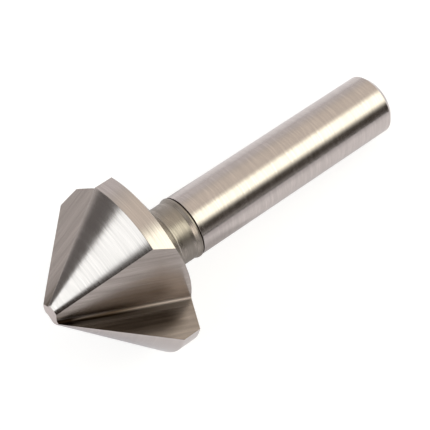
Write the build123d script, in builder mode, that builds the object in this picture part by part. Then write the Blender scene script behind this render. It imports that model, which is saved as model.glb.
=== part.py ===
from build123d import *
from math import acos, atan2, cos, degrees, hypot, radians, sin, tan
import os

# A countersink bit with three straight flutes, ground from one bar of high speed steel.
# It is made upright, with the middle of its tip at the origin and its shank along +Z,
# and is then laid down as it comes to rest on a bench.
# Lengths are in millimetres and angles in degrees.

# Head
head_diameter = 29.5
tip_diameter = 3.7
cone_angle = 90.0
land_length = 3.0
back_angle = 130.0

# Neck, left as turned, with a raised rim and a fine groove before the ground shank
neck_diameter = 9.7
neck_length = 3.1
neck_fillet = 0.6
rim_diameter = 10.2
rim_flare = 0.6
rim_width = 0.3
groove_diameter = 9.6
groove_width = 0.25

# Shank
shank_diameter = 10.0
shank_length = 39.2
shank_chamfer = 0.8

# Flutes
flute_count = 3
flute_angle = 95.0
flute_incline = 25.0
flute_root_radius = 0.6
root_to_axis_at_tip = 1.4
rake_offset = 0.4

head_radius = head_diameter / 2
tip_radius = tip_diameter / 2
neck_radius = neck_diameter / 2
rim_radius = rim_diameter / 2
groove_radius = groove_diameter / 2
shank_radius = shank_diameter / 2

# Heights above the tip
land_front = (head_radius - tip_radius) / tan(radians(cone_angle / 2))
land_back = land_front + land_length
neck_front = land_back + (head_radius - neck_radius) / tan(radians(back_angle / 2))
flare_front = neck_front + neck_length
rim_front = flare_front + rim_flare
groove_front = rim_front + rim_width
shank_front = groove_front + groove_width
shank_end = shank_front + shank_length
shank_rim = shank_end - shank_chamfer

# One flute is a V groove. Its rake wall is parallel to the tool's axis, and its root
# climbs away from the axis towards the back of the head.
incline = radians(flute_incline)
root_direction = Vector(sin(incline), 0, cos(incline))
rake_direction = Vector(cos(incline), 0, -sin(incline))
root_at_tip = Vector(root_to_axis_at_tip, rake_offset, 0)
flute_reach = 2 * shank_end
flute_plane = Plane(origin=root_at_tip, x_dir=rake_direction, z_dir=root_direction)
heel_wall_end = Vector(flute_reach, 0).rotate(Axis.Z, -flute_angle)

with BuildPart() as flute_cutter:
    with BuildSketch(flute_plane) as flute_section:
        with BuildLine():
            Polyline(
                (0, 0),
                (flute_reach, 0),
                (flute_reach, -flute_reach),
                heel_wall_end,
                close=True,
            )
        make_face()
        root_corner = flute_section.vertices().sort_by_distance((0, 0, 0))[0]
        fillet(root_corner, radius=flute_root_radius)
    extrude(amount=flute_reach, both=True)

with BuildPart() as upright_bit:
    # Turned and ground blank
    with BuildSketch(Plane.XZ) as half_section:
        with BuildLine():
            Polyline(
                (0, 0),
                (tip_radius, 0),
                (head_radius, land_front),
                (head_radius, land_back),
                (neck_radius, neck_front),
                (neck_radius, flare_front),
                (rim_radius, rim_front),
                (rim_radius, groove_front),
                (groove_radius, groove_front),
                (groove_radius, shank_front),
                (shank_radius, shank_front),
                (shank_radius, shank_rim),
                (shank_radius - shank_chamfer, shank_end),
                (0, shank_end),
                close=True,
            )
        make_face()
        neck_corner = half_section.vertices().sort_by_distance((neck_radius, neck_front, 0))[0]
        fillet(neck_corner, radius=neck_fillet)
    revolve(axis=Axis.Z)

    with PolarLocations(0, flute_count):
        add(flute_cutter.part, mode=Mode.SUBTRACT)

# On a bench the bit lies across one flute. It touches down at the two corners beside that
# flute, at the back of the land, and at the rim of the shank.
heel_wall_direction = (heel_wall_end.X * rake_direction + Vector(0, heel_wall_end.Y)).normalized()
rake_normal = Vector(0, 1, 0)
heel_normal = root_direction.cross(heel_wall_direction)


def corner_turn(wall_normal):
    """Turn about the axis at which a wall of the first flute leaves the back of the land."""
    height_left = wall_normal.dot(root_at_tip) - wall_normal.Z * land_back
    across = hypot(wall_normal.X, wall_normal.Y)
    return degrees(atan2(wall_normal.Y, wall_normal.X) - acos(height_left / (across * head_radius)))


leading_turn = corner_turn(rake_normal)
heel_turn = corner_turn(heel_normal)
flute_middle_turn = (leading_turn + heel_turn) / 2
flute_half_width = (leading_turn - heel_turn) / 2
corner_depth = head_radius * cos(radians(flute_half_width))
lean = degrees(atan2(corner_depth - shank_radius, shank_rim - land_back))

# The shank points along +X and the head's end is the higher one. The origin is the middle
# of the box around the bit, at bench height.
lying = Location((0, 0, 0), (0, 90 + lean, 0)) * Location((0, 0, 0), (0, 0, -flute_middle_turn))
box = upright_bit.part.moved(lying).bounding_box()
at_rest = Location((-box.center().X, -box.center().Y, -box.min.Z)) * lying

with BuildPart() as countersink_bit:
    with Locations(at_rest):
        add(upright_bit.part)

countersink_bit.part.label = "countersink_bit"
os.makedirs("parts", exist_ok=True)
export_step(countersink_bit.part, "parts/countersink_bit.step")
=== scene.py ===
"""A ground countersink bit with three flutes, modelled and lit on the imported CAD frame."""

from math import acos, atan2, cos, hypot, radians, sin, tan

import bpy
from bpy.props import FloatProperty, FloatVectorProperty, IntProperty, PointerProperty
from mathutils import Matrix, Vector


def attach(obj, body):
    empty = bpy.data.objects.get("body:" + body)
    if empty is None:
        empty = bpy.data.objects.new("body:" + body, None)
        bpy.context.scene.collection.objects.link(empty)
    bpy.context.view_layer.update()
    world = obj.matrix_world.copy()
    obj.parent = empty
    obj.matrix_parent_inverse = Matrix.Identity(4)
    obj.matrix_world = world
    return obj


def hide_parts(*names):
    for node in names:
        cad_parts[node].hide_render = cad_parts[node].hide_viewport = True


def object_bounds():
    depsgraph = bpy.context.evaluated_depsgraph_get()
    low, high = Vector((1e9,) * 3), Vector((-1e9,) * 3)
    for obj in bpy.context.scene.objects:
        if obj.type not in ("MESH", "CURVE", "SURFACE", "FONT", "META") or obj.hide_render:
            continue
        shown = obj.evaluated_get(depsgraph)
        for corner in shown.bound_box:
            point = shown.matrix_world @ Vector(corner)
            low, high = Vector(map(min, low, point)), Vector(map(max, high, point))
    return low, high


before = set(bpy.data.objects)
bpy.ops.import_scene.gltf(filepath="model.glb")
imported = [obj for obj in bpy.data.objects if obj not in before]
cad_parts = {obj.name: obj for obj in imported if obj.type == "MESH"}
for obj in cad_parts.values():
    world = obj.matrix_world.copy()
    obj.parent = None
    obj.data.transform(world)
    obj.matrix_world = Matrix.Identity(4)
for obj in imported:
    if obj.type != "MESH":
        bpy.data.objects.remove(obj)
cad_low, cad_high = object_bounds()

bl_info = {
    "name": "Countersink bit",
    "version": (1, 0, 0),
    "blender": (4, 5, 0),
    "location": "3D View > Sidebar > Countersink",
    "description": "Models a ground countersink bit with three flutes, and its studio",
    "category": "Add Mesh",
}

# The bit is modelled upright with one Blender unit to the millimetre, and is then made
# small and laid down in metres.
MM_PER_M = 1000.0
FLUTES = 3

# The finishes of the blank's bands, in the order of its material slots
TURNED_FINISHES = ("tip", "ground", "turned", "groove", "end")

# Steps across a rounded corner
FILLET_STEPS = 6
ROOT_STEPS = 10
EDGE_STEPS = 2

# How far the V of a grinding pass reaches out from the root, and along it below and above
# the tip, in millimetres
WHEEL_REACH = 60.0
WHEEL_BELOW = 20.0
WHEEL_ABOVE = 60.0

# Two places count as one within this distance, in millimetres
SAME_PLACE = 1e-3

# Points closer than this are merged after the cutting, and shorter edges are taken out, in
# millimetres
MERGE_DISTANCE = 2e-4
SHORTEST_EDGE = 1e-4

# Faces that meet at a smaller angle are shaded as one
SMOOTH_ANGLE = radians(28)

# How wide the light catches a worn edge, in metres
WORN_EDGE = 5e-5


def length(name, metres, description):
    """A property that holds a length of the tool, in metres."""
    return FloatProperty(
        name=name, description=description, default=metres, min=0.0, unit="LENGTH",
        subtype="DISTANCE", precision=5,
    )


def angle(name, in_degrees, description):
    """A property that holds an angle."""
    return FloatProperty(
        name=name, description=description, default=radians(in_degrees), unit="ROTATION",
        subtype="ANGLE",
    )


def colour(name, rgb, description):
    """A property that holds a linear colour."""
    return FloatVectorProperty(
        name=name, description=description, default=rgb, min=0.0, max=1.0, size=3,
        subtype="COLOR",
    )


def factor(name, share, description):
    """A property that holds a share from 0 to 1."""
    return FloatProperty(
        name=name, description=description, default=share, min=0.0, max=1.0, subtype="FACTOR"
    )


class BitSizes(bpy.types.PropertyGroup):
    """Sizes of the countersink bit."""

    head_diameter: length("Head diameter", 0.0295, "Across the land, where it is widest")
    tip_diameter: length("Tip diameter", 0.0037, "Across the small flat at the front")
    cone_angle: angle("Cone angle", 90.0, "Included angle of the cutting cone")
    land_length: length("Land length", 0.003, "Length of the round band behind the cone")
    back_angle: angle("Back angle", 130.0, "Included angle of the cone behind the land")
    neck_diameter: length("Neck diameter", 0.0097, "Across the turned neck behind the head")
    neck_length: length("Neck length", 0.0031, "From the back cone to the flare of the rim")
    neck_fillet: length("Neck fillet", 0.0006, "Radius between the back cone and the neck")
    rim_diameter: length("Rim diameter", 0.0102, "Across the raised rim before the shank")
    rim_flare: length("Rim flare", 0.0006, "Length over which the neck widens to the rim")
    rim_width: length("Rim width", 0.0003, "Length of the raised rim")
    groove_diameter: length("Groove diameter", 0.0096, "Across the bottom of the fine groove")
    groove_width: length("Groove width", 0.00025, "Width of the groove before the shank")
    shank_diameter: length("Shank diameter", 0.010, "Across the ground shank")
    shank_length: length("Shank length", 0.0392, "Length of the ground shank")
    shank_chamfer: length("Shank chamfer", 0.0008, "Chamfer on the shank's end")
    edge_break: length("Edge break", 0.00005, "How far the turned edges are broken")
    flute_angle: angle("Flute angle", 95.0, "Angle between the two walls of a flute")
    flute_incline: angle("Flute incline", 25.0, "How steeply a flute's root leaves the axis")
    flute_root_radius: length("Flute root radius", 0.0006, "Radius along the root of a flute")
    root_to_axis: length("Root to axis", 0.0014, "From the axis to a flute's root at the tip")
    rake_offset: length("Rake offset", 0.0004, "From the axis to the plane of a rake face")
    turned_steps: IntProperty(
        name="Steps round", description="Number of steps round the turned blank",
        default=360, min=48, max=720,
    )


class BitColours(bpy.types.PropertyGroup):
    """Colours and finishes of the countersink bit."""

    ground_steel: colour("Ground steel", (0.54, 0.495, 0.475), "Cone, land and shank")
    tip_steel: colour("Tip", (0.58, 0.51, 0.473), "Small flat at the front")
    fluted_steel: colour("Fluted steel", (0.394, 0.354, 0.328), "Walls of the flutes")
    turned_steel: colour("Turned steel", (0.342, 0.31, 0.276), "Neck and back, left as turned")
    # Painted shade: the fine groove before the shank is coloured dark for its shadow
    groove_shade_colour: colour("Groove", (0.07, 0.055, 0.045), "Dark painted shade in the fine groove")
    # Painted shade: the tints that darken and brown the flutes along their roots, in their
    # corners and on their rake faces
    root_shade_tint: colour("Painted root shade", (0.165, 0.12, 0.07), "Tint of the painted shade in the flutes")
    corner_shade_tint: colour("Painted corner shade", (0.03, 0.02, 0.012), "Tint along the front of the roots")
    ground_roughness: factor("Ground roughness", 0.17, "Blur of the ground round faces")
    fluted_roughness: factor("Fluted roughness", 0.2, "Blur of the flute walls")
    turned_roughness: factor("Turned roughness", 0.3, "Blur of the turned faces")
    groove_roughness: factor("Groove roughness", 0.6, "Blur of the groove's grime")


class StudioSettings(bpy.types.PropertyGroup):
    """Floor, light and camera."""

    floor_white: colour("Floor", (0.34, 0.34, 0.34), "How much light the floor gives back")
    floor_glow: factor("Floor glow", 0.78, "Lifts the floor to white for the camera")
    floor_size: length("Floor size", 4.0, "Width and depth of the floor")
    mirrored_white: colour(
        "Mirrored floor", (0.89, 0.885, 0.965), "How much light the steel gets back from it"
    )
    mirrored_glow: factor("Mirrored glow", 0.15, "Lifts the floor to white for the steel")
    room_colour: colour("Room", (0.72, 0.69, 0.66), "Plain light of the room")
    azimuth: angle("Camera azimuth", -37.645, "Camera's place round it, from -Y towards +X")
    elevation: angle("Camera elevation", 64.787, "Camera's height above the floor")
    roll: angle("Camera roll", -2.189, "Camera's turn about its own view")
    lens: FloatProperty(
        name="Lens", description="Focal length on a 36 mm sensor", default=135.853, min=1.0,
        unit="CAMERA",
    )
    distance: length("Camera distance", 0.243268, "From the camera to its target")
    target: FloatVectorProperty(
        name="Camera target", description="The place that the camera looks at",
        default=(-0.0027697, -0.0019907, 0.0122613), size=3, unit="LENGTH",
        subtype="TRANSLATION", precision=5,
    )


# Places and directions


def compass(azimuth, elevation):
    """The direction at an azimuth, from -Y towards +X, and an elevation."""
    level = cos(elevation)
    return Vector((sin(azimuth) * level, -cos(azimuth) * level, sin(elevation)))


def heights(sizes):
    """Distances from the tip to the places where the profile changes, in millimetres."""
    mm = {name: getattr(sizes, name) * MM_PER_M for name in (
        "head_diameter", "tip_diameter", "land_length", "neck_diameter", "neck_length",
        "rim_flare", "rim_width", "groove_width", "shank_length", "shank_chamfer",
    )}
    up = {}
    cone_depth = (mm["head_diameter"] - mm["tip_diameter"]) / 2
    back_depth = (mm["head_diameter"] - mm["neck_diameter"]) / 2
    up["land_front"] = cone_depth / tan(sizes.cone_angle / 2)
    up["land_back"] = up["land_front"] + mm["land_length"]
    up["neck_front"] = up["land_back"] + back_depth / tan(sizes.back_angle / 2)
    up["flare_front"] = up["neck_front"] + mm["neck_length"]
    up["rim_front"] = up["flare_front"] + mm["rim_flare"]
    up["groove_front"] = up["rim_front"] + mm["rim_width"]
    up["shank_front"] = up["groove_front"] + mm["groove_width"]
    up["shank_end"] = up["shank_front"] + mm["shank_length"]
    up["shank_rim"] = up["shank_end"] - mm["shank_chamfer"]
    return up


def flute_pose(sizes, number=0):
    """Where a flute's V stands in the upright tool: X into the rake wall, Z along the root."""
    root = Vector((sizes.root_to_axis, sizes.rake_offset, 0)) * MM_PER_M
    turn = Matrix.Rotation(radians(360 / FLUTES * number), 4, "Z")
    tilt = Matrix.Rotation(sizes.flute_incline, 4, "Y")
    return turn @ Matrix.Translation(root) @ tilt


def resting_turn(sizes):
    """The rotation from upright to lying across one flute, on two corners and the shank."""
    up = heights(sizes)
    head_radius = sizes.head_diameter * MM_PER_M / 2
    shank_radius = sizes.shank_diameter * MM_PER_M / 2
    pose = flute_pose(sizes)
    root = pose.translation
    heel_end = Vector((cos(sizes.flute_angle), -sin(sizes.flute_angle), 0))
    along = pose.to_3x3() @ Vector((0, 0, 1))
    heel = pose.to_3x3() @ heel_end

    def corner_turn(normal):
        """Turn at which a wall leaves the back of the land."""
        left = normal.dot(root) - normal.z * up["land_back"]
        across = hypot(normal.x, normal.y)
        return atan2(normal.y, normal.x) - acos(left / (across * head_radius))

    leading = corner_turn(Vector((0, 1, 0)))
    trailing = corner_turn(along.cross(heel))
    depth = head_radius * cos((leading - trailing) / 2)
    lean = atan2(depth - shank_radius, up["shank_rim"] - up["land_back"])
    lying = Matrix.Rotation(radians(90) + lean, 4, "Y")
    return lying @ Matrix.Rotation(-(leading + trailing) / 2, 4, "Z")


# Modelling


def start_afresh():
    """Leave edit mode and deselect everything."""
    if bpy.context.mode != "OBJECT":
        bpy.ops.object.mode_set(mode="OBJECT")
    bpy.ops.object.select_all(action="DESELECT")


def work_on(thing):
    """Make one object the only one selected, and active."""
    start_afresh()
    thing.select_set(True)
    bpy.context.view_layer.objects.active = thing


def pick_ring(thing, radius, height):
    """In edit mode, select the ring of edges at a radius and height."""
    bpy.ops.mesh.select_mode(type="EDGE")
    bpy.ops.mesh.select_all(action="DESELECT")
    bpy.ops.object.mode_set(mode="OBJECT")
    points = thing.data.vertices

    def on_ring(point):
        off = hypot(*point.co.xy) - radius
        return abs(point.co.z - height) < SAME_PLACE and abs(off) < SAME_PLACE

    for edge in thing.data.edges:
        edge.select = all(on_ring(points[i]) for i in edge.vertices)
    bpy.ops.object.mode_set(mode="EDIT")


def add_material(thing, material):
    """Give the object one more material and return its place in the list."""
    thing.data.materials.append(material)
    return len(thing.data.materials) - 1


def finish_band(thing, number, low, high):
    """Give the faces whose middle lies between two heights the material of that number."""
    for face in thing.data.polygons:
        if low < face.center.z < high:
            face.material_index = number


def turn_blank(sizes, finishes):
    """The blank off the lathe: a disc at the tip, drawn up and widened step by step."""
    up = heights(sizes)
    head, tip, neck, rim, groove, shank = (
        getattr(sizes, part + "_diameter") * MM_PER_M / 2
        for part in ("head", "tip", "neck", "rim", "groove", "shank")
    )
    end = shank - sizes.shank_chamfer * MM_PER_M
    profile = (
        (head, up["land_front"]), (head, up["land_back"]), (neck, up["neck_front"]),
        (neck, up["flare_front"]), (rim, up["rim_front"]), (rim, up["groove_front"]),
        (groove, up["groove_front"]), (groove, up["shank_front"]),
        (shank, up["shank_front"]), (shank, up["shank_rim"]), (end, up["shank_end"]),
    )
    start_afresh()
    bpy.ops.mesh.primitive_circle_add(
        vertices=sizes.turned_steps, radius=tip, fill_type="NGON", location=(0, 0, 0)
    )
    blank = bpy.context.object
    blank.name = blank.data.name = "fluted_bit"
    bpy.ops.object.mode_set(mode="EDIT")
    bpy.ops.mesh.select_mode(type="FACE")
    bpy.ops.mesh.select_all(action="SELECT")
    last_radius, last_height = tip, 0.0
    for radius, height in profile:
        bpy.ops.mesh.extrude_region_move(
            TRANSFORM_OT_translate={"value": (0, 0, height - last_height)}
        )
        wider = radius / last_radius
        bpy.ops.transform.resize(value=(wider, wider, 1), center_override=(0, 0, height))
        last_radius, last_height = radius, height
    bpy.ops.mesh.select_all(action="SELECT")
    bpy.ops.mesh.normals_make_consistent(inside=False)

    pick_ring(blank, neck, up["neck_front"])
    fillet = sizes.neck_fillet * MM_PER_M * tan(sizes.back_angle / 4)
    bpy.ops.mesh.bevel(offset=fillet, segments=FILLET_STEPS, profile=0.5)
    broken = sizes.edge_break * MM_PER_M
    for radius, height in ((tip, 0.0),) + profile:
        if (radius, height) != (neck, up["neck_front"]):
            pick_ring(blank, radius, height)
            bpy.ops.mesh.bevel(offset=broken, segments=EDGE_STEPS, profile=0.5)
    bpy.ops.object.mode_set(mode="OBJECT")

    numbers = {name: add_material(blank, finishes[name]) for name in TURNED_FINISHES}
    low = -1
    for name, high in (
        ("tip", broken * 0.3), ("ground", up["land_back"] + broken),
        ("turned", up["groove_front"] - broken), ("groove", up["shank_front"] + broken * 0.2),
        ("ground", up["shank_end"] - broken * 0.3), ("end", up["shank_end"] + 1),
    ):
        finish_band(blank, numbers[name], low, high)
        low = high
    return blank


def shape_wheel(sizes, number, finish):
    """The V that one grinding pass takes away, with the flute's root radius on its edge."""
    tall, middle = WHEEL_ABOVE + WHEEL_BELOW, (WHEEL_ABOVE - WHEEL_BELOW) / 2
    start_afresh()
    bpy.ops.mesh.primitive_cube_add(size=1, location=(0, 0, 0))
    wheel = bpy.context.object
    wheel.name = "flute_wheel_%d" % number
    bpy.ops.object.mode_set(mode="EDIT")
    bpy.ops.mesh.select_all(action="SELECT")
    bpy.ops.transform.translate(value=(0.5, -0.5, 0))
    bpy.ops.transform.resize(
        value=(WHEEL_REACH, WHEEL_REACH, tall), center_override=(0, 0, 0)
    )
    bpy.ops.transform.translate(value=(0, 0, middle))
    bpy.ops.mesh.select_mode(type="VERT")
    bpy.ops.mesh.select_all(action="DESELECT")
    bpy.ops.object.mode_set(mode="OBJECT")
    for point in wheel.data.vertices:
        point.select = point.co.x < 1 and point.co.y < -1
    bpy.ops.object.mode_set(mode="EDIT")
    heel_end = -WHEEL_REACH * tan(sizes.flute_angle - radians(90))
    bpy.ops.transform.translate(value=(heel_end, 0, 0))
    bpy.ops.mesh.select_mode(type="EDGE")
    bpy.ops.mesh.select_all(action="DESELECT")
    bpy.ops.object.mode_set(mode="OBJECT")
    at_root = [hypot(*point.co.xy) < SAME_PLACE for point in wheel.data.vertices]
    for edge in wheel.data.edges:
        edge.select = all(at_root[i] for i in edge.vertices)
    bpy.ops.object.mode_set(mode="EDIT")
    tangent = sizes.flute_root_radius * MM_PER_M / tan(sizes.flute_angle / 2)
    bpy.ops.mesh.bevel(offset=tangent, segments=ROOT_STEPS, profile=0.5)
    bpy.ops.mesh.select_all(action="SELECT")
    bpy.ops.mesh.normals_make_consistent(inside=False)
    bpy.ops.object.mode_set(mode="OBJECT")
    wheel.data.materials.append(finish)
    work_on(wheel)
    wheel.matrix_world = flute_pose(sizes, number)
    bpy.ops.object.transform_apply(location=True, rotation=True, scale=True)
    return wheel


def grind_flutes(blank, wheels):
    """Cut every flute into the blank, and remove what the cutting has left over."""
    work_on(blank)
    for wheel in wheels:
        cut = blank.modifiers.new(wheel.name, "BOOLEAN")
        cut.object = wheel
        cut.operation = "DIFFERENCE"
        cut.solver = "EXACT"
        cut.material_mode = "TRANSFER"
        bpy.ops.object.modifier_apply(modifier=cut.name)
    start_afresh()
    for wheel in wheels:
        wheel.select_set(True)
    bpy.ops.object.delete()
    work_on(blank)
    bpy.ops.object.mode_set(mode="EDIT")
    bpy.ops.mesh.select_mode(type="VERT")
    bpy.ops.mesh.select_all(action="SELECT")
    bpy.ops.mesh.remove_doubles(threshold=MERGE_DISTANCE)
    bpy.ops.mesh.dissolve_degenerate(threshold=SHORTEST_EDGE)
    bpy.ops.mesh.select_all(action="SELECT")
    bpy.ops.mesh.normals_make_consistent(inside=False)
    bpy.ops.object.mode_set(mode="OBJECT")


def smooth_faces(bit):
    """Smooth shading round the tool and in the flute roots, with flats left flat."""
    work_on(bit)
    bpy.ops.object.shade_smooth_by_angle(angle=SMOOTH_ANGLE, keep_sharp_edges=False)
    weigh = bit.modifiers.new("Flat faces", "WEIGHTED_NORMAL")
    weigh.mode = "FACE_AREA"
    weigh.keep_sharp = True
    bpy.ops.object.modifier_apply(modifier=weigh.name)


def lay_down(bit, turn):
    """Put the upright bit on the bench in metres, with its box where the CAD model's is."""
    spots = [turn @ point.co for point in bit.data.vertices]
    low = Vector([min(spot[i] for spot in spots) for i in range(3)]) / MM_PER_M
    high = Vector([max(spot[i] for spot in spots) for i in range(3)]) / MM_PER_M
    move = (cad_low + cad_high) / 2 - (low + high) / 2
    move.z = cad_low.z - low.z
    pose = Matrix.Translation(move) @ turn @ Matrix.Scale(1 / MM_PER_M, 4)
    work_on(bit)
    bit.matrix_world = pose
    bpy.ops.object.transform_apply(location=True, rotation=True, scale=True)
    return pose


# Materials


class Nodes:
    """Adds nodes to one material or to the world, and links them."""

    def __init__(self, tree):
        self.tree = tree
        tree.nodes.clear()

    def add(self, kind, inputs=(), **settings):
        """One node. Its inputs are values or other nodes' outputs."""
        made = self.tree.nodes.new("ShaderNode" + kind)
        for name, value in settings.items():
            setattr(made, name, value)
        for name, value in dict(inputs).items():
            if isinstance(value, bpy.types.NodeSocket):
                self.tree.links.new(value, made.inputs[name])
            else:
                made.inputs[name].default_value = value
        return made

    def math(self, operation, *values):
        """The result of one Math node."""
        return self.add("Math", dict(enumerate(values)), operation=operation).outputs[0]

    def vector(self, operation, *values, out=0):
        """The result of one Vector Math node."""
        return self.add("VectorMath", dict(enumerate(values)), operation=operation).outputs[out]

    def noise(self, place, scale, detail=2.0):
        """Even noise at a place."""
        made = self.add("TexNoise", {"Vector": place, "Scale": scale, "Detail": detail})
        return made.outputs[0]

    def spread(self, value, low, high, to_low, to_high, **settings):
        """A value moved from one range to another."""
        return self.add("MapRange", {
            "Value": value, "From Min": low, "From Max": high,
            "To Min": to_low, "To Max": to_high,
        }, **settings).outputs[0]

    def ease(self, value, low, high, to_low, to_high):
        """A value moved from one range to another, with soft ends."""
        return self.spread(
            value, low, high, to_low, to_high, interpolation_type="SMOOTHSTEP"
        )

    def apart(self, place):
        """The three parts of a place."""
        return self.add("SeparateXYZ", {0: place}).outputs

    def blend(self, share, one, other, blend_type="MIX"):
        """Two colours mixed."""
        made = self.add("Mix", data_type="RGBA", blend_type=blend_type)
        for number, value in ((0, share), (6, one), (7, other)):
            if isinstance(value, bpy.types.NodeSocket):
                self.tree.links.new(value, made.inputs[number])
            else:
                made.inputs[number].default_value = value
        return made.outputs[2]


def opaque(rgb, shade=1.0):
    """A colour, made darker or lighter, with its alpha."""
    return (*(min(1.0, channel * shade) for channel in rgb), 1.0)


def own_place(nodes, pose):
    """The place in the frame of that pose, in millimetres."""
    back = pose.inverted()
    place, turn, grow = back.decompose()
    return nodes.add("Mapping", {
        "Vector": nodes.add("TexCoord").outputs["Object"],
        "Location": place, "Rotation": turn.to_euler(), "Scale": grow,
    }).outputs[0]


# How many fine and wide marks there are to the millimetre, and how high the fine ones are
# beside the wide
FINE_MARKS = 6.0
WIDE_MARKS = 2.5
FINE_HEIGHT = 0.5

# Most of a noise lies between these values
NOISE_RANGE = (0.3, 0.7)

# How far the wide marks sharpen and blur what the steel mirrors
BLUR_RANGE = (0.8, 1.25)

# How far the noise of the marks moves: to the millimetre outwards and to the radian round
# the axis for round marks, and to the millimetre across and along a flute for straight ones
OUTWARD_RUN = 1.3
ROUND_RUN = (0.35, 0.35, 0)
STRAIGHT_RUN = (0.7, 0.7, 0.025)


def steel(
    name, rgb, roughness, marks, tangent=None, anisotropy=0.0, depth=0.0, contrast=0.05,
    painted_shade=None,
):
    """A steel whose fine marks follow the cutter.

    marks(nodes) gives the place with the marks' run drawn short, in millimetres, and
    tangent(nodes) the direction across the marks. Their depth is in metres, and contrast
    is how far they darken and lighten the steel. painted_shade(nodes) gives how far painted
    shade darkens the steel, the shade's tint, and how much rougher the steel is there.
    """
    material = bpy.data.materials.new(name)
    material.use_nodes = True
    nodes = Nodes(material.node_tree)
    place = marks(nodes)
    fine = nodes.noise(place, FINE_MARKS, detail=1.0)
    wide = nodes.noise(place, WIDE_MARKS, detail=1.0)
    dark, light = opaque(rgb, 1 - contrast), opaque(rgb, 1 + contrast)
    tint = nodes.blend(nodes.spread(fine, *NOISE_RANGE, 0.0, 1.0), dark, light)
    tint = nodes.blend(nodes.spread(wide, *NOISE_RANGE, 0.0, 1.0), tint, dark)
    blur = nodes.spread(wide, *NOISE_RANGE, *(roughness * share for share in BLUR_RANGE))
    # Painted shade, where given, darkens and browns the steel and roughens it
    if painted_shade:
        share, shade_tint, rougher = painted_shade(nodes)
        tint = nodes.blend(1.0, tint, nodes.blend(share, (1, 1, 1, 1), shade_tint), "MULTIPLY")
        blur = nodes.math("ADD", rougher, blur)
    height = nodes.math("MULTIPLY_ADD", fine, FINE_HEIGHT, wide)
    bump = nodes.add("Bump", {
        "Strength": 1.0, "Distance": depth, "Height": height,
        "Normal": nodes.add("Bevel", {"Radius": WORN_EDGE}, samples=6).outputs[0],
    })
    shader = nodes.add("BsdfPrincipled", {
        "Base Color": tint, "Metallic": 1.0, "Roughness": blur, "Anisotropic": anisotropy,
        "Normal": bump.outputs[0],
    })
    if tangent:
        nodes.tree.links.new(tangent(nodes), shader.inputs["Tangent"])
    nodes.add("OutputMaterial", {"Surface": shader.outputs[0]})
    return material


def round_marks(pose):
    """Marks that run round the tool's axis."""
    def marks(nodes):
        place = own_place(nodes, pose)
        flat = nodes.vector("MULTIPLY", place, (1, 1, 0))
        outward = nodes.vector("NORMALIZE", flat)
        radius = nodes.vector("LENGTH", flat, out=1)
        height = nodes.apart(place)[2]
        run = nodes.math("MULTIPLY_ADD", radius, OUTWARD_RUN, height)
        lift = nodes.add("CombineXYZ", {2: run}).outputs[0]
        return nodes.vector("MULTIPLY_ADD", outward, ROUND_RUN, lift)
    return marks


def straight_marks(pose):
    """Marks that run along the pose's Z."""
    def marks(nodes):
        return nodes.vector("MULTIPLY", own_place(nodes, pose), STRAIGHT_RUN)
    return marks


# Where painted shade darkens a flute: in its corner along the root, near the root and on the
# rake face, most towards the tip. Lengths are in millimetres, and each pair says where the
# shade begins to fade and where it is gone: away from the root, along it from the tip, or
# aside on the rake face.
CORNER_AWAY = (0.35, 1.0)
CORNER_SHADE_ALONG = (2.0, 12.0)
ROOT_AWAY = (0.0, 4.6)
ROOT_ALONG = (8.0, 18.0)
FACE_ASIDE = (3.2, 5.6)
FACE_ALONG = (15.5, 20.0)

# Where the painted shade on the rake face begins, and where it is full
FACE_STARTS = (0.5, 1.8)

# How much a millimetre counts away from the root, on the rake face and on the heel
ROOT_COUNTS = (0.5, 1, 0)

# What is left of it there
ROOT_REST = 0.3
FACE_REST = 0.05

# How fast it pales away from the root, how far its border sways, and how dark its streaks
# on the rake face are
ROOT_FALLOFF = 1.8
ROOT_SWAY = 0.8
FACE_STREAKS = (0.68, 0.88)

# The streaks themselves, near the root and on the rake face: how far their noise moves
# across and along a flute, and its scale. Those on the face lie between the two values.
ROOT_STREAK_RUN = (1.2, 1.2, 0.05)
ROOT_STREAK_SCALE = 1.0
FACE_STREAK_RUN = (1.2, 1.2, 0.03)
FACE_STREAK_SCALE = 3.0
FACE_STREAK_RANGE = (0.35, 0.65)

# How much rougher the steel is in the corner along the root
CORNER_BLUR = 0.12


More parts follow.
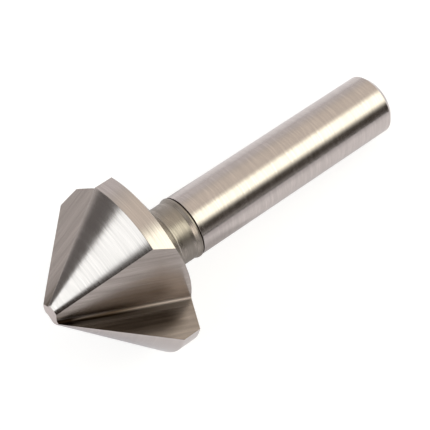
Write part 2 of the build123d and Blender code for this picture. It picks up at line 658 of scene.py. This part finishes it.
def painted_root_shade(pose, colours):
    """Painted shade, brown, along a flute's root and in streaks on its rake face, darkest near
    the tip.
    """
    def painted_shade(nodes):
        place = own_place(nodes, pose)
        aside, _, along = nodes.apart(place)
        away = nodes.vector("LENGTH", nodes.vector("MULTIPLY", place, ROOT_COUNTS), out=1)
        # Painted shade in the corner along the root, strongest near the tip
        corner = nodes.spread(away, *CORNER_AWAY, 1.0, 0.0)
        corner_shade = nodes.math("MULTIPLY", corner, nodes.spread(along, *CORNER_SHADE_ALONG, 1.0, 0.0))

        # Painted shade near the root, fading away from it, with a swaying border
        drawn = nodes.vector("MULTIPLY", place, ROOT_STREAK_RUN)
        streaks = nodes.noise(drawn, ROOT_STREAK_SCALE)
        sway = nodes.spread(streaks, *NOISE_RANGE, -ROOT_SWAY, ROOT_SWAY)
        root = nodes.spread(nodes.math("ADD", away, sway), *ROOT_AWAY, 1.0, 0.0)
        root = nodes.math("POWER", root, ROOT_FALLOFF)
        root = nodes.math("MULTIPLY", root, nodes.ease(along, *ROOT_ALONG, 1.0, ROOT_REST))

        # Painted shade in streaks on the rake face
        drawn = nodes.vector("MULTIPLY", place, FACE_STREAK_RUN)
        streaks = nodes.noise(drawn, FACE_STREAK_SCALE)
        streaks = nodes.spread(streaks, *FACE_STREAK_RANGE, *FACE_STREAKS)
        face = nodes.ease(aside, *FACE_STARTS, 0.0, 1.0)
        face = nodes.math("MULTIPLY", face, streaks)
        face = nodes.math("MULTIPLY", face, nodes.ease(aside, *FACE_ASIDE, 1.0, FACE_REST))
        face = nodes.math("MULTIPLY", face, nodes.ease(along, *FACE_ALONG, 1.0, 0.0))

        share = nodes.math("MAXIMUM", nodes.math("MAXIMUM", root, corner_shade), face)
        tint = nodes.blend(corner_shade, opaque(colours.root_shade_tint), opaque(colours.corner_shade_tint))
        return share, tint, nodes.math("MULTIPLY", corner, CORNER_BLUR)
    return painted_shade


def in_the_world(nodes, direction):
    """A fixed direction of the piece, as it lies in the world."""
    return nodes.add("VectorTransform", {0: direction}, vector_type="VECTOR",
                     convert_from="OBJECT", convert_to="WORLD").outputs[0]


def across_round(pose):
    """Along the tool's axis, which is across the marks on a round face."""
    axis = (pose.to_3x3() @ Vector((0, 0, 1))).normalized()
    return lambda nodes: in_the_world(nodes, axis)


def outward_from(pose):
    """Away from the tool's axis, which is across the marks on a faced end."""
    def tangent(nodes):
        place = nodes.add("TexCoord").outputs["Object"]
        return in_the_world(nodes, nodes.vector("SUBTRACT", place, pose.translation))
    return tangent


def across_straight(pose):
    """In the wall and across the marks of a flute."""
    along = (pose.to_3x3() @ Vector((0, 0, 1))).normalized()
    def tangent(nodes):
        normal = nodes.add("NewGeometry").outputs["Normal"]
        return nodes.vector("CROSS_PRODUCT", normal, in_the_world(nodes, along))
    return tangent


def bit_finishes(sizes, colours, pose):
    """Every finish of the tool, by the name of the face that has it."""
    round_, across, outward = round_marks(pose), across_round(pose), outward_from(pose)
    finishes = {
        "ground": steel(
            "Ground round", colours.ground_steel, colours.ground_roughness, round_, across,
            anisotropy=0.5, depth=1.0e-5, contrast=0.08,
        ),
        "tip": steel(
            "Ground tip", colours.tip_steel, colours.ground_roughness, round_, outward,
            anisotropy=0.5, depth=4e-6, contrast=0.1,
        ),
        "end": steel(
            "Faced end", colours.ground_steel, colours.ground_roughness, round_, outward,
            anisotropy=0.5, depth=8e-6, contrast=0.12,
        ),
        "turned": steel(
            "Turned neck", colours.turned_steel, colours.turned_roughness, round_,
            depth=2.2e-5, contrast=0.16,
        ),
        # The groove's dark colour is painted shade
        "groove": steel(
            "Painted groove shade", colours.groove_shade_colour, colours.groove_roughness, round_, depth=4e-6
        ),
    }
    for number in range(FLUTES):
        flute = pose @ flute_pose(sizes, number)
        # Each flute gets painted shade along its root and on its rake face
        finishes["flute_%d" % number] = steel(
            "Ground flute %d" % (number + 1), colours.fluted_steel, colours.fluted_roughness,
            straight_marks(flute), across_straight(flute), anisotropy=0.8, depth=4e-6,
            contrast=0.11, painted_shade=painted_root_shade(flute, colours),
        )
    return finishes


# Studio

# The room's lights and dark places, as the tool's round faces mirror them, each laid over
# the ones before it: name, azimuth, elevation, turn, half width, half height and softness
# in degrees, and light
PANELS = (
    ("Back wall", 178, 12, 0, 34, 16, 8, (0.83, 0.79, 0.78)),
    ("Warm wall by the window", 112, 45, 10, 26, 40, 14, (0.96, 0.87, 0.76)),
    ("Dark above the bit", 45, 72, 0, 17, 14, 6, (0.04, 0.032, 0.026)),
    ("Warm window", 66.6, 29.6, 28.8, 22.4, 31, 10, (2.6, 2.56, 2.16)),
    ("Dark under the warm window", 33, 15, 34, 15.4, 30, 13, (0.07, 0.06, 0.05)),
    ("Light in front of the bit", -7, 41, 0, 14, 15.5, 6, (2.6, 2.4, 2.15)),
    ("Dark left of the cool window", -133, 14, 49, 15, 40, 6, (0.18, 0.17, 0.165)),
    ("Dark right of the cool window", -70, 20, 0, 17, 40, 4, (0.05, 0.04, 0.035)),
    ("Cool window", -105.2, 29, -8, 16.3, 36, 3, (1.84, 1.96, 1.98)),
)


def add_panel(nodes, direction, behind, panel):
    """Lay one soft-edged panel over the room's light."""
    _, azimuth, elevation, turn, wide, high, soft, light = panel
    front = compass(radians(azimuth), radians(elevation))
    right = Vector((0, 0, 1)).cross(front).normalized()
    above = front.cross(right)
    turned = Matrix.Rotation(radians(turn), 3, front)
    facing = nodes.vector("DOT_PRODUCT", direction, front, out=1)
    share = nodes.math("GREATER_THAN", facing, 0.0)
    for side, half in ((turned @ right, wide), (turned @ above, high)):
        off = nodes.vector("DOT_PRODUCT", direction, side, out=1)
        off = nodes.math("ABSOLUTE", nodes.math("ARCTAN2", off, facing))
        inside = nodes.ease(off, radians(half - soft), radians(half + soft), 1.0, 0.0)
        share = nodes.math("MULTIPLY", share, inside)
    return nodes.blend(share, behind, (*light, 1.0))


def light_room(studio):
    """Surround the bit with the room's light. The camera sees plain white behind the bit."""
    room = bpy.data.worlds.new("Studio room")
    bpy.context.scene.world = room
    room.use_nodes = True
    nodes = Nodes(room.node_tree)
    direction = nodes.vector("NORMALIZE", nodes.add("TexCoord").outputs["Generated"])
    light = opaque(studio.room_colour)
    for panel in PANELS:
        light = add_panel(nodes, direction, light, panel)
    seen = nodes.add("Background", {"Color": light, "Strength": 1.0})
    white = nodes.add("Background", {"Color": (1, 1, 1, 1), "Strength": 1.0})
    ray = nodes.add("LightPath").outputs["Is Camera Ray"]
    both = nodes.add("MixShader", {0: ray, 1: seen.outputs[0], 2: white.outputs[0]})
    nodes.add("OutputWorld", {"Surface": both.outputs[0]})


# Painted shade on the floor that only the steel sees: how much of its light the steel sees
# at a place on the floor. Each line gives two places in metres and the share up to the
# first and from the second on: far in front of the bit, close in front, and behind it.
FRONT_FADE = (-0.24, -0.12, 0.06, 1.0)
NEAR_FADE = (-0.06, -0.015, 0.72, 1.0)
BACK_FADE = (0.0, 0.2, 1.0, 0.8)

# The same away from the line under the bit, where painted shade stands for the wide head's
# shadow and reaches wider, and along it away from the neck, where painted shade darkens
# the floor beside the neck
UNDER_FADE = (0.002, 0.009, 0.87, 1.0)
HEAD_MIDDLE = -0.014
HEAD_WIDENS = (0.014, 0.022, 0.013, 0.0)
NECK_MIDDLE = -0.0035
NECK_FADE = (0.004, 0.0095, 0.8, 1.0)


def painted_floor_shade(nodes):
    """Painted shade on the floor for the steel: how much of the floor's light it sees at a
    place.
    """
    along, aside, _ = nodes.apart(nodes.add("TexCoord").outputs["Object"])
    seen = nodes.math(
        "MULTIPLY", nodes.ease(aside, *FRONT_FADE), nodes.ease(aside, *BACK_FADE)
    )
    seen = nodes.math("MULTIPLY", seen, nodes.ease(aside, *NEAR_FADE))
    from_head = nodes.math("ABSOLUTE", nodes.math("SUBTRACT", along, HEAD_MIDDLE))
    wider = nodes.spread(from_head, *HEAD_WIDENS)
    from_axis = nodes.math("SUBTRACT", nodes.math("ABSOLUTE", aside), wider)
    seen = nodes.math("MULTIPLY", seen, nodes.ease(from_axis, *UNDER_FADE))
    from_neck = nodes.math("ABSOLUTE", nodes.math("SUBTRACT", along, NECK_MIDDLE))
    return nodes.math("MULTIPLY", seen, nodes.ease(from_neck, *NECK_FADE))


def lay_floor(studio):
    """A pale floor that keeps the bit's shadow and is white in the picture and in the steel,
    where painted shade darkens it in front of and under the bit.
    """
    start_afresh()
    bpy.ops.mesh.primitive_plane_add(size=studio.floor_size, location=(0, 0, 0))
    floor = bpy.context.object
    floor.name = "studio_floor"
    material = bpy.data.materials.new("Studio floor")
    material.use_nodes = True
    nodes = Nodes(material.node_tree)
    paths = nodes.add("LightPath").outputs
    mirrored = nodes.math("MAXIMUM", paths["Is Glossy Ray"], paths["Is Transmission Ray"])
    # For the steel only, painted shade darkens the floor in front of and under the bit; the
    # camera sees it unshaded
    seen = nodes.math("MAXIMUM", painted_floor_shade(nodes), nodes.math("SUBTRACT", 1.0, mirrored))
    glow = nodes.spread(mirrored, 0.0, 1.0, studio.floor_glow, studio.mirrored_glow)
    glow = nodes.math("MULTIPLY", glow, nodes.math("MAXIMUM", paths["Is Camera Ray"], mirrored))
    white = nodes.blend(mirrored, opaque(studio.floor_white), opaque(studio.mirrored_white))
    shader = nodes.add("BsdfPrincipled", {
        "Base Color": nodes.blend(seen, (0, 0, 0, 1), white), "Roughness": 0.9,
        "Specular IOR Level": 0.0, "Emission Color": (1.0, 1.0, 1.0, 1),
        "Emission Strength": nodes.math("MULTIPLY", glow, seen),
    })
    nodes.add("OutputMaterial", {"Surface": shader.outputs[0]})
    floor.data.materials.append(material)


# The camera's sensor in millimetres, and the nearest and farthest that it sees in metres
SENSOR_WIDTH = 36.0
NEAREST_SEEN = 0.01
FARTHEST_SEEN = 10.0


def place_camera(studio):
    """The camera of the photograph."""
    back = compass(studio.azimuth, studio.elevation)
    upright = (-back).to_track_quat("-Z", "Y").to_matrix()
    turned = upright @ Matrix.Rotation(studio.roll, 3, "Z")
    start_afresh()
    bpy.ops.object.camera_add(
        location=Vector(studio.target) + back * studio.distance, rotation=turned.to_euler()
    )
    camera = bpy.context.object
    camera.name = "photo_camera"
    camera.data.sensor_width = SENSOR_WIDTH
    camera.data.lens = studio.lens
    camera.data.clip_start, camera.data.clip_end = NEAREST_SEEN, FARTHEST_SEEN
    bpy.context.scene.camera = camera


# Operators and panel


class COUNTERSINK_OT_bit(bpy.types.Operator):
    """Turn the blank, grind its three flutes, lay it down and give it its finishes"""

    bl_idname = "countersink.bit"
    bl_label = "Make the bit"
    bl_options = {"REGISTER", "UNDO"}

    def execute(self, context):
        sizes, colours = context.scene.bit_sizes, context.scene.bit_colours
        # The finishes need the pose of the finished bit, so plain ones hold their places
        flutes = ["flute_%d" % number for number in range(FLUTES)]
        blanks = {name: bpy.data.materials.new(name) for name in (*TURNED_FINISHES, *flutes)}
        bit = turn_blank(sizes, blanks)
        wheels = [
            shape_wheel(sizes, number, blanks[name]) for number, name in enumerate(flutes)
        ]
        grind_flutes(bit, wheels)
        smooth_faces(bit)
        pose = lay_down(bit, resting_turn(sizes))
        finishes = bit_finishes(sizes, colours, pose)
        for slot in bit.material_slots:
            slot.material = finishes[slot.material.name]
        for blank in blanks.values():
            bpy.data.materials.remove(blank)
        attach(bit, "root")
        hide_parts("countersink_bit")
        return {"FINISHED"}


class COUNTERSINK_OT_studio(bpy.types.Operator):
    """Lay the pale floor, light the room and place the camera of the photograph"""

    bl_idname = "countersink.studio"
    bl_label = "Make the studio"
    bl_options = {"REGISTER", "UNDO"}

    def execute(self, context):
        studio = context.scene.bit_studio
        lay_floor(studio)
        light_room(studio)
        place_camera(studio)
        context.scene.view_settings.view_transform = "Standard"
        return {"FINISHED"}


class COUNTERSINK_PT_panel(bpy.types.Panel):
    """Lists what the add-on makes, with its sizes and colours"""

    bl_idname = "COUNTERSINK_PT_panel"
    bl_label = "Countersink bit"
    bl_space_type = "VIEW_3D"
    bl_region_type = "UI"
    bl_category = "Countersink"

    def draw(self, context):
        scene = context.scene
        for operator, group in (
            (COUNTERSINK_OT_bit, scene.bit_sizes),
            (COUNTERSINK_OT_bit, scene.bit_colours),
            (COUNTERSINK_OT_studio, scene.bit_studio),
        ):
            column = self.layout.column(align=True)
            column.operator(operator.bl_idname)
            for name in type(group).__annotations__:
                column.prop(group, name)


CLASSES = (
    BitSizes, BitColours, StudioSettings, COUNTERSINK_OT_bit, COUNTERSINK_OT_studio,
    COUNTERSINK_PT_panel,
)


def register():
    """Add the classes, and their settings to the scene."""
    for kind in CLASSES:
        bpy.utils.register_class(kind)
    bpy.types.Scene.bit_sizes = PointerProperty(type=BitSizes)
    bpy.types.Scene.bit_colours = PointerProperty(type=BitColours)
    bpy.types.Scene.bit_studio = PointerProperty(type=StudioSettings)


def unregister():
    """Take the settings and the classes away again."""
    del bpy.types.Scene.bit_studio
    del bpy.types.Scene.bit_colours
    del bpy.types.Scene.bit_sizes
    for kind in reversed(CLASSES):
        bpy.utils.unregister_class(kind)


def main():
    """Make everything in order."""
    register()
    bpy.ops.countersink.bit()
    bpy.ops.countersink.studio()


if __name__ == "__main__":
    main()
